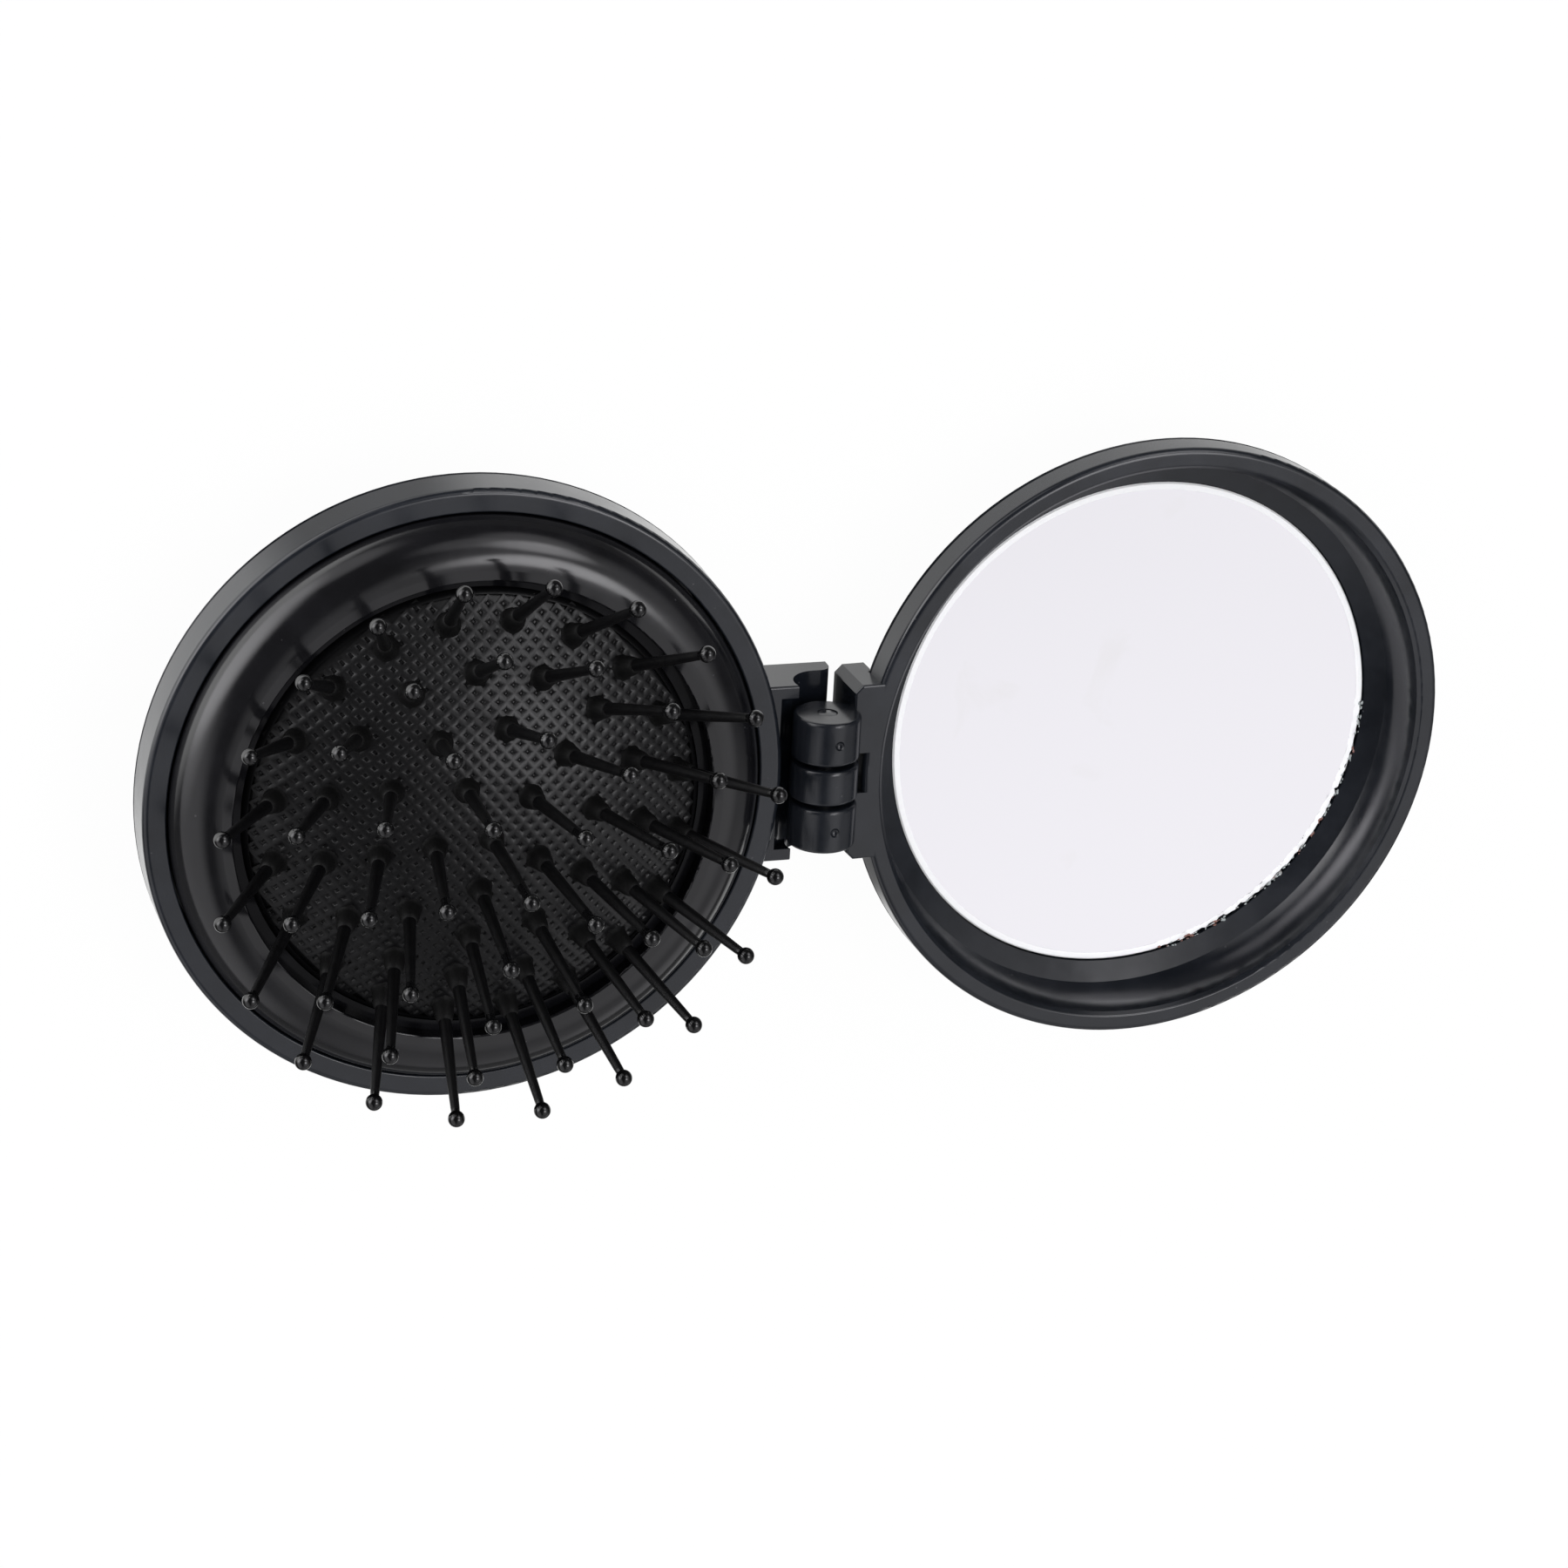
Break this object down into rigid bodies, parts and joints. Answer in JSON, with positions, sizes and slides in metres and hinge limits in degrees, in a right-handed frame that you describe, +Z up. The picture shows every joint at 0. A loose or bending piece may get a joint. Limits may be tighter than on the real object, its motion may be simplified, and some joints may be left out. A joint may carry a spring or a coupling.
{
  "type": "folding compact hairbrush with mirror",
  "caption": "Round folding compact hairbrush: a brush head that pops up out of its case, hinged to a lid that holds a round mirror.",
  "frame": {"origin": "on the table plane, straight below the middle of the hinge pin, with the compact open", "axes": "+X from the brush case to the lid, +Y along the hinge pin, +Z up along the middle brush pin"},
  "size_m": [0.1395, 0.0654, 0.042],
  "materials": {
    "case_plastic": "black moulded ABS, semi-gloss",
    "bezel_plastic": "black moulded ABS, polished",
    "pin_steel": "plain steel wire",
    "cushion_rubber": "black rubber with a fine woven texture",
    "bristle_nylon": "black nylon, glossy",
    "mirror_glass": "silvered float glass, ground edge",
    "pad_foam": "double-sided foam tape"
  },
  "bodies": {
    "base": {"base_frame": "case_plastic", "base_back": "case_plastic", "hinge_pin": "pin_steel"},
    "lid": {"lid_frame": "case_plastic", "lid_back": "case_plastic", "mirror": "mirror_glass", "mirror_pad": "pad_foam"},
    "head": {"head_bezel": "bezel_plastic", "head_cup": "case_plastic", "thumb_plate": "case_plastic", "cushion": "cushion_rubber"},
    "outer_pins": {"pins_outer_ring": "bristle_nylon"},
    "third_pins": {"pins_third_ring": "bristle_nylon"},
    "second_pins": {"pins_second_ring": "bristle_nylon"},
    "inner_pins": {"pins_inner_ring": "bristle_nylon"},
    "centre_pins": {"pin_centre": "bristle_nylon"}
  },
  "joints": [
    {"name": "lid_hinge", "type": "hinge", "parent": "base", "child": "lid", "pos_m": [0, 0, 0.01575], "axis": [0, -1, 0], "range_deg": [0, 182.9]},
    {"name": "head_slide", "type": "slide", "parent": "base", "child": "head", "axis": [0, 0, 1], "range_m": [-0.006, 0], "deforming": ["cushion"]},
    {"name": "outer_pins_slide", "type": "slide", "parent": "head", "child": "outer_pins", "axis": [0, 0, 1], "range_m": [-0.004, 0]},
    {"name": "third_pins_slide", "type": "slide", "parent": "head", "child": "third_pins", "axis": [0, 0, 1], "range_m": [-0.0066, 0]},
    {"name": "second_pins_slide", "type": "slide", "parent": "head", "child": "second_pins", "axis": [0, 0, 1], "range_m": [-0.0097, 0]},
    {"name": "inner_pins_slide", "type": "slide", "parent": "head", "child": "inner_pins", "axis": [0, 0, 1], "range_m": [-0.0123, 0]},
    {"name": "centre_pins_slide", "type": "slide", "parent": "head", "child": "centre_pins", "axis": [0, 0, 1], "range_m": [-0.0141, 0]}
  ],
  "couplings": [
    {"joint": "head_slide", "follows": "lid_hinge", "m_per_rad": -0.001879},
    {"joint": "outer_pins_slide", "follows": "lid_hinge", "m_per_rad": -0.001253},
    {"joint": "third_pins_slide", "follows": "lid_hinge", "m_per_rad": -0.002067},
    {"joint": "second_pins_slide", "follows": "lid_hinge", "m_per_rad": -0.003038},
    {"joint": "inner_pins_slide", "follows": "lid_hinge", "m_per_rad": -0.003853},
    {"joint": "centre_pins_slide", "follows": "lid_hinge", "m_per_rad": -0.004417}
  ]
}
